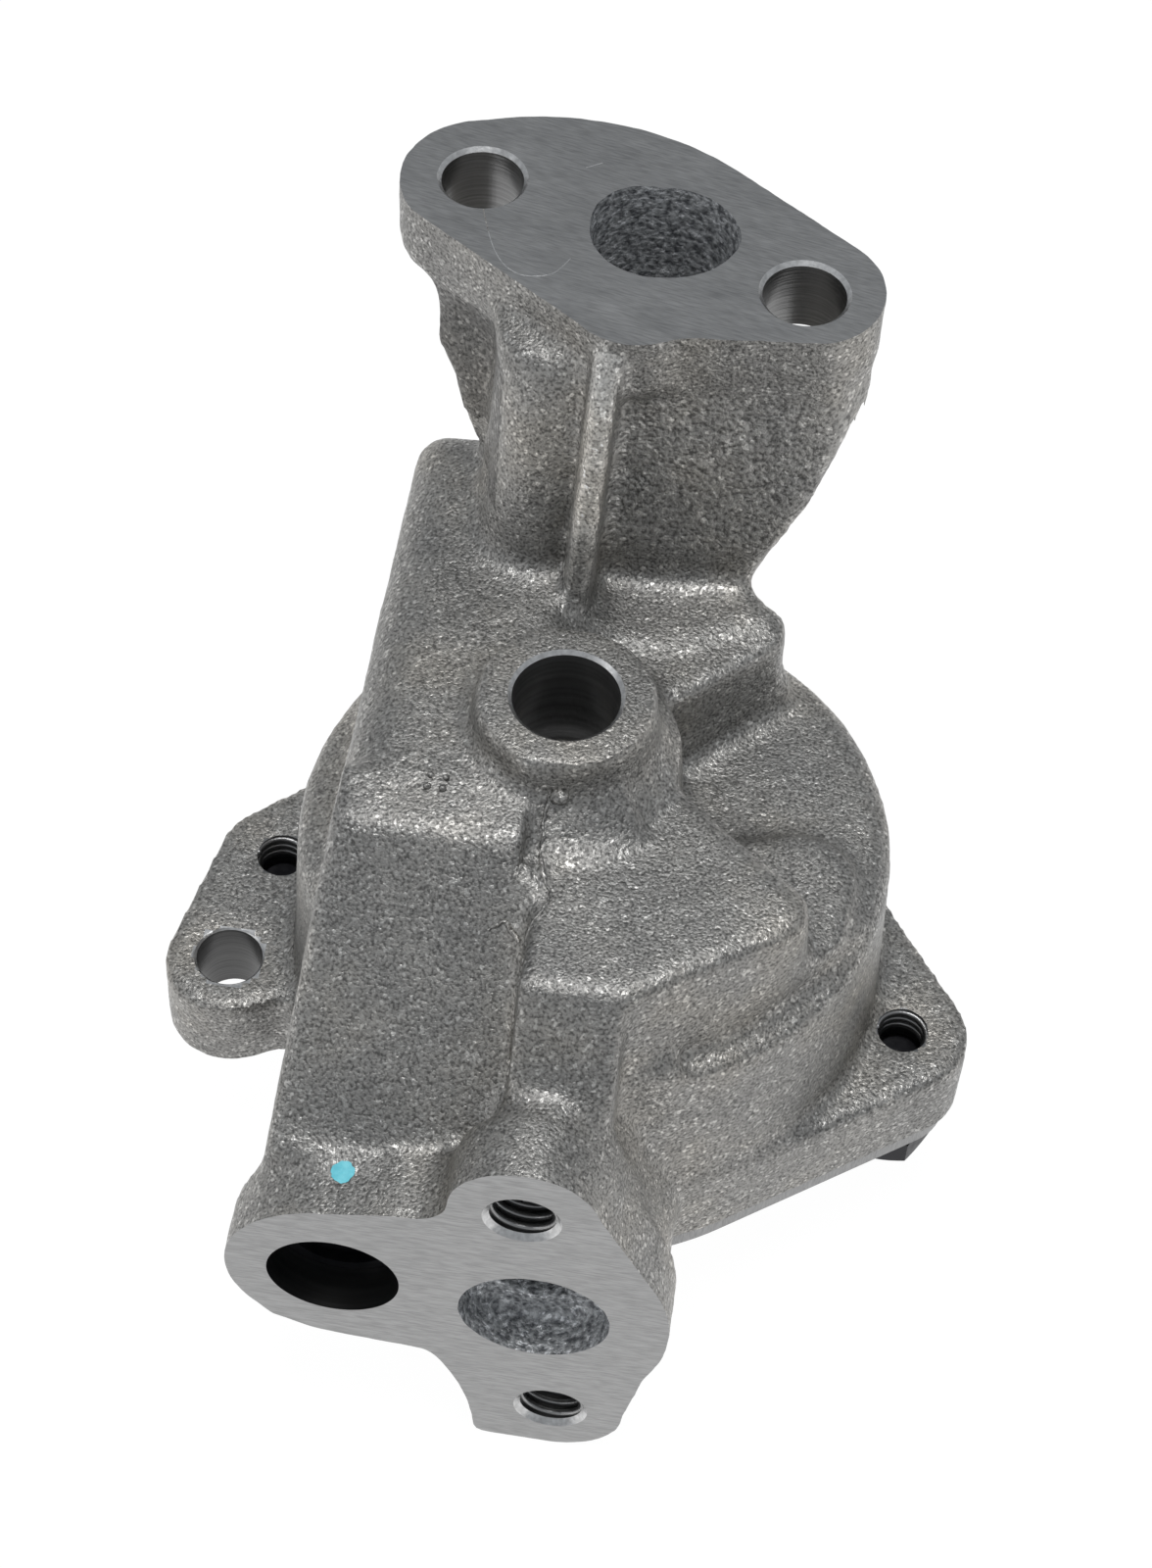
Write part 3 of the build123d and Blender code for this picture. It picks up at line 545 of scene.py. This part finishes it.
def line_on(route, name, thickness, order=2):
    """Thin round bar along points in metres, closed at both ends."""
    bpy.ops.curve.primitive_nurbs_path_add()
    line = bpy.context.object
    line.name = name
    line.data.splines.clear()
    spline = line.data.splines.new("NURBS")
    spline.points.add(len(route) - 1)
    for point, (place, wide) in zip(spline.points, route):
        point.co = (*place, 1)
        point.radius = wide
    spline.order_u = order
    spline.use_endpoint_u = True
    spline.resolution_u = 6 if order > 2 else 1
    line.data.bevel_depth = thickness
    line.data.bevel_resolution = 1
    line.data.use_fill_caps = True
    only(line)
    bpy.ops.object.convert(target="MESH")
    bpy.ops.object.mode_set(mode="EDIT")
    bpy.ops.mesh.select_all(action="SELECT")
    bpy.ops.mesh.remove_doubles(threshold=1e-7)
    bpy.ops.mesh.normals_make_consistent(inside=False)
    bpy.ops.object.mode_set(mode="OBJECT")
    return line


ring_scratch = [(-17.6, 46.7), (-16.1, 41.7), (-14.2, 38.1), (-12.2, 36.4), (-9.9, 36.4), (-8.0, 37.1),
                (-6.9, 38.8), (-6.3, 40.2)]
short_scratch = [(-6.7, 55.7), (-6.1, 56.0), (-5.5, 56.5), (-4.8, 56.9)]
scratches = []
for scratch in (ring_scratch, short_scratch):
    route = [((x / 1000, y / 1000, mount_z + 0.00003), 1) for x, y in scratch]
    scratches.append(line_on(route, "scratch", 0.00009, 3))
cut(casting, scratches)

inlet_mouth, delivery_mouth = Vector((0.00535, -0.0519)), Vector((0.0041, 0.0464))
for polygon in casting.data.polygons:
    centre, normal = polygon.center, polygon.normal
    finish = cast_skin
    if -0.004 < centre.z < 0.0285 and centre.y > 0.016 and normal.y < 0.2:
        rib_x = -rib_lean * (mount_z - centre.z) / rib_height
        if centre.x > rib_x + 0.0022 and centre.z < 0.0205:
            finish = rough_skin
        # painted shade: the pocket left of the neck, under the flange, gets the half-bright copy of the skin
        elif centre.x < -0.0125 and 0.001 < centre.z < 0.0205:
            finish = shaded_skin
        # painted highlight: the narrow rib on the front of the neck gets the lighter copy of the skin
        elif abs(centre.x - rib_x) < 0.0016 and centre.y < 0.0285:
            finish = rib_highlight_skin
    inwards = Vector((centre.x, centre.z)) - inlet_mouth
    in_inlet = inwards.length < 0.0094 and pickup_y + 1e-4 < centre.y < -0.030
    if in_inlet and inwards.dot((normal.x, normal.z)) < 0.001:
        finish = port_skin
    inwards = Vector((centre.x, centre.y)) - delivery_mouth
    if inwards.length < 0.0095 and -0.028 < centre.z < mount_z - 1e-4 and inwards.dot(normal.xy) < 0.001:
        finish = port_skin
    for place, direction, radius, low, high in bores:
        offset = centre - Vector(place)
        along = offset.dot(direction)
        away = (offset - direction * along).length
        if abs(away - radius) < 0.00004 and low - 1e-4 < along < high:
            finish = reamed if direction is across_y else drilled
            if away < 0.0065 and hypot(centre.x, centre.y) < 0.007:
                finish = drive_wall
            # painted shade: the brace hole's wall gets the darker copy of the drilled wall
            if centre.x < -0.0355 and centre.y < 0.0:
                finish = brace_wall_painted_shade
    for place, direction, radius, size in cones:
        offset = centre - Vector(place)
        along = offset.dot(direction)
        away = (offset - direction * along).length
        if abs(away - radius - size - along) < 0.0001 and -size < along < -1e-5:
            finish = chamfered
    if abs(centre.z - mount_z) < 2e-5 and normal.z > 0.9:
        finish = flange_face
    elif mount_z - 0.00012 < centre.z < mount_z and normal.z > 0.2 and polygon.area < 1e-7:
        finish = chamfered
    if abs(centre.y - pickup_y) < 2e-5 and normal.y < -0.9:
        finish = pickup_face
    if abs(centre.z - joint_z) < 2e-5 and normal.z < -0.9:
        finish = flange_face
    polygon.material_index = finishes.index(finish)
only(casting)
bpy.ops.object.shade_smooth_by_angle(angle=radians(38))
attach(casting, "housing")
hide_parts("pump_housing")

# Parting flash: thin ragged fins of iron that ran between the mould's pieces and the core,
# left standing on the casting, with one nub at the hub and four small dots beside it.
random.seed(11)
bpy.context.view_layer.update()


def on_skin(x, y):
    """Point of the casting straight under a plan point in millimetres."""
    return casting.ray_cast(Vector((x / 1000, y / 1000, 0.02)), Vector((0, 0, -1)))[1]


seams = [[(-0.26, -10.9), (-0.5, -13.2), (-0.4, -15.8), (0.3, -19.0), (1.6, -21.2), (0.9, -23.6),
          (-0.3, -25.7), (-0.7, -30.0), (-0.9, -34.9), (-0.3, -37.4), (-0.6, -40.4), (0.6, -43.0)],
         [(-5.1, -24.7), (-3.2, -23.7), (-1.0, -25.9)]]
fins = []
for seam in seams:
    route = []
    for start, end in zip(seam, seam[1:]):
        start, end = Vector(start), Vector(end)
        count = max(1, round((end - start).length / 0.45))
        for step in range(count):
            spot = start.lerp(end, step / count)
            skin = on_skin(spot.x + random.uniform(-0.16, 0.16), spot.y)
            route.append((skin, random.uniform(0.45, 1.35)))
    fins.append(line_on(route, "parting_flash", 0.00027))
four_dots = [(-14.3, -11.8, 0.46), (-12.5, -11.8, 0.46), (-14.1, -10.3, 0.42), (-12.3, -10.4, 0.42)]
hub_nub = (0.9, -11.0, 1.25)
for x, y, size in four_dots + [hub_nub]:
    bpy.ops.mesh.primitive_uv_sphere_add(segments=16, ring_count=8, radius=size / 1000,
                                         location=on_skin(x, y) + Vector((0, 0, 0.00022)))
    dot = bpy.context.object
    dot.scale = (1, 0.9, 0.8)
    for vert in dot.data.vertices:
        vert.co *= random.uniform(0.9, 1.08)
    fins.append(dot)
only(*fins)
bpy.ops.object.join()
flash = bpy.context.object
flash.name = "parting_flash"
bpy.ops.object.transform_apply(location=True, rotation=True, scale=True)
flash.data.materials.clear()
flash.data.materials.append(cast_skin)
bpy.ops.object.shade_smooth_by_angle(angle=radians(60))
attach(flash, "housing")

# Cut threads: the ridges that the tap left in the two visible ear holes above the bolts, and in
# the two screw holes of the pickup face.
tapped = bored("tapped_thread", (40, 40, 1), 0.34, 3500)
holes = [("ear_thread_right", (*ear_places["right"], 0), upward, 0.0032, 0.00268, 0.00127, -0.0531, 3),
         ("ear_thread_left", (*ear_places["left"], 0), upward, 0.0032, 0.00268, 0.00127, -0.0531, 3),
         ("pickup_thread_upper", upper_screw, across_y, 0.0039, 0.0034, 0.00141, 0.0424, 6),
         ("pickup_thread_lower", lower_screw, across_y, 0.0039, 0.0034, 0.00141, 0.0424, 6)]
for name, place, direction, wall, crest, pitch, low, turns in holes:
    bpy.ops.mesh.primitive_circle_add(vertices=3, radius=0.001)
    ridge = bpy.context.object
    ridge.name = name
    profile = ((wall + 0.0002, 0), (crest, pitch * 0.49), (wall + 0.0002, pitch * 0.98))
    for vert, (away, along) in zip(ridge.data.vertices, profile):
        vert.co = (away, 0, low + along)
    coil = ridge.modifiers.new("coil", "SCREW")
    coil.screw_offset = pitch
    coil.iterations = turns
    coil.steps = coil.render_steps = 40
    bpy.ops.object.modifier_apply(modifier="coil")
    ridge.matrix_world = Matrix.Translation(place) @ direction.to_track_quat("Z", "X").to_matrix().to_4x4()
    bpy.ops.object.transform_apply(location=True, rotation=True, scale=True)
    bpy.ops.object.mode_set(mode="EDIT")
    bpy.ops.mesh.select_all(action="SELECT")
    bpy.ops.mesh.remove_doubles(threshold=1e-7)
    bpy.ops.mesh.fill_holes(sides=4)
    bpy.ops.mesh.select_all(action="SELECT")
    bpy.ops.mesh.normals_make_consistent(inside=False)
    bpy.ops.object.mode_set(mode="OBJECT")
    ridge.data.materials.append(tapped)
    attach(ridge, "housing")

# Cover, rotors, drive shaft, relief valve parts and cover bolts. The cover is ground iron, the rotors
# are bright steel and the shaft is dark with oil. The bolts, their lock washers and the relief
# valve's retainer are blackened steel.
# The cover's grey is kept darker than ground iron: painted shade, as the inset cover sits in shadow under the
# ears.
ground, tree, shader, place = metal("ground_cover", (0.38, 0.38, 0.37), 0.9, 0.34)
swirl = pattern(tree, place, "noise", 700, 2, stretch=(0.08, 1.2, 1), turn=(0, 0, 1.2))
tree.links.new(ramp(tree, swirl, [(0.3, 0.22), (0.7, 0.33)]), shader.inputs["Base Color"])
relief(tree, shader, swirl, 0.0001, 0.45)
bright_steel, tree, shader, place = metal("rotor_steel", (0.45, 0.45, 0.45), 1.0, 0.28)
haze = pattern(tree, place, "noise", 300, 3)
tree.links.new(ramp(tree, haze, [(0.3, 0.38), (0.7, 0.5)]), shader.inputs["Base Color"])
tree.links.new(ramp(tree, haze, [(0.3, 0.24), (0.7, 0.36)]), shader.inputs["Roughness"])
oiled_steel, tree, shader, place = metal("oiled_shaft", (0.16, 0.16, 0.165), 1.0, 0.5)
haze = pattern(tree, place, "noise", 400, 3)
tree.links.new(ramp(tree, haze, [(0.3, 0.12), (0.7, 0.2)]), shader.inputs["Base Color"])
tree.links.new(ramp(tree, haze, [(0.3, 0.44), (0.7, 0.6)]), shader.inputs["Roughness"])
black_steel, tree, shader, place = metal("black_oxide", (0.03, 0.03, 0.034), 0.8, 0.4)
haze = pattern(tree, place, "noise", 500, 3)
tone = ramp(tree, haze, [(0.3, (0.014, 0.014, 0.017)), (0.7, (0.034, 0.034, 0.038))])
tree.links.new(tone, shader.inputs["Base Color"])
tree.links.new(ramp(tree, haze, [(0.3, 0.34), (0.7, 0.52)]), shader.inputs["Roughness"])
relief(tree, shader, haze, 0.00005, 0.3)
for name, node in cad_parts.items():
    if name == "pump_housing":
        continue
    finish = bright_steel
    if name == "cover_plate":
        finish = ground
    elif name == "rotor_shaft":
        finish = oiled_steel
    elif name.startswith(("cover_bolt", "lock_washer", "relief_retainer")):
        finish = black_steel
    node.data.materials.clear()
    node.data.materials.append(finish)

# Relief spring: oiled wire wound into four turns, seated in the retainer.
spring = bpy.data.objects.new("relief_coil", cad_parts["relief_spring"].data.copy())
bpy.context.collection.objects.link(spring)
only(spring)
bpy.ops.object.mode_set(mode="EDIT")
bpy.ops.mesh.select_all(action="SELECT")
bpy.ops.mesh.remove_doubles(threshold=2e-6)
bpy.ops.object.mode_set(mode="OBJECT")
bpy.ops.object.shade_smooth_by_angle(angle=radians(50))
oiled_wire, tree, shader, place = metal("oiled_wire", (0.30, 0.30, 0.31), 1.0, 0.3)
film = pattern(tree, place, "noise", 600, 3)
tree.links.new(ramp(tree, film, [(0.3, 0.22), (0.7, 0.34)]), shader.inputs["Base Color"])
tree.links.new(ramp(tree, film, [(0.3, 0.24), (0.7, 0.38)]), shader.inputs["Roughness"])
spring.data.materials.clear()
spring.data.materials.append(oiled_wire)
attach(spring, "housing")
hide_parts("relief_spring")
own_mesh(spring)

# Paint mark: one small round spot of pale blue paint, left by an inspector. It was dabbed on
# above the relief bore, and follows the collar's rough skin.
paint, tree, shader, place = metal("blue_paint", (0.16, 0.62, 0.72), 0.0, 0.55)
streaks = pattern(tree, place, "noise", 900, 3)
tone = ramp(tree, streaks, [(0.3, (0.12, 0.55, 0.66)), (0.7, (0.22, 0.70, 0.80))])
tree.links.new(tone, shader.inputs["Base Color"])
relief(tree, shader, streaks, 0.0002, 0.6)
dab_place = Vector((-0.0182, -0.0469, -0.0325))
bpy.ops.mesh.primitive_circle_add(vertices=28, radius=0.00135, fill_type="TRIFAN", location=dab_place)
dab = bpy.context.object
dab.name = "paint_dab"
random.seed(4)
bpy.ops.object.transform_apply(location=True, rotation=True, scale=True)
for vert in dab.data.vertices:
    offset = vert.co - dab_place
    vert.co += offset * random.uniform(-0.09, 0.09)
wrap = dab.modifiers.new("lie", "SHRINKWRAP")
wrap.target = casting
wrap.wrap_method = "PROJECT"
wrap.use_project_z = True
wrap.use_negative_direction = True
wrap.use_positive_direction = True
wrap.offset = 0.00006
only(dab)
bpy.ops.object.modifier_apply(modifier="lie")
dab.data.materials.append(paint)
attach(dab, "housing")
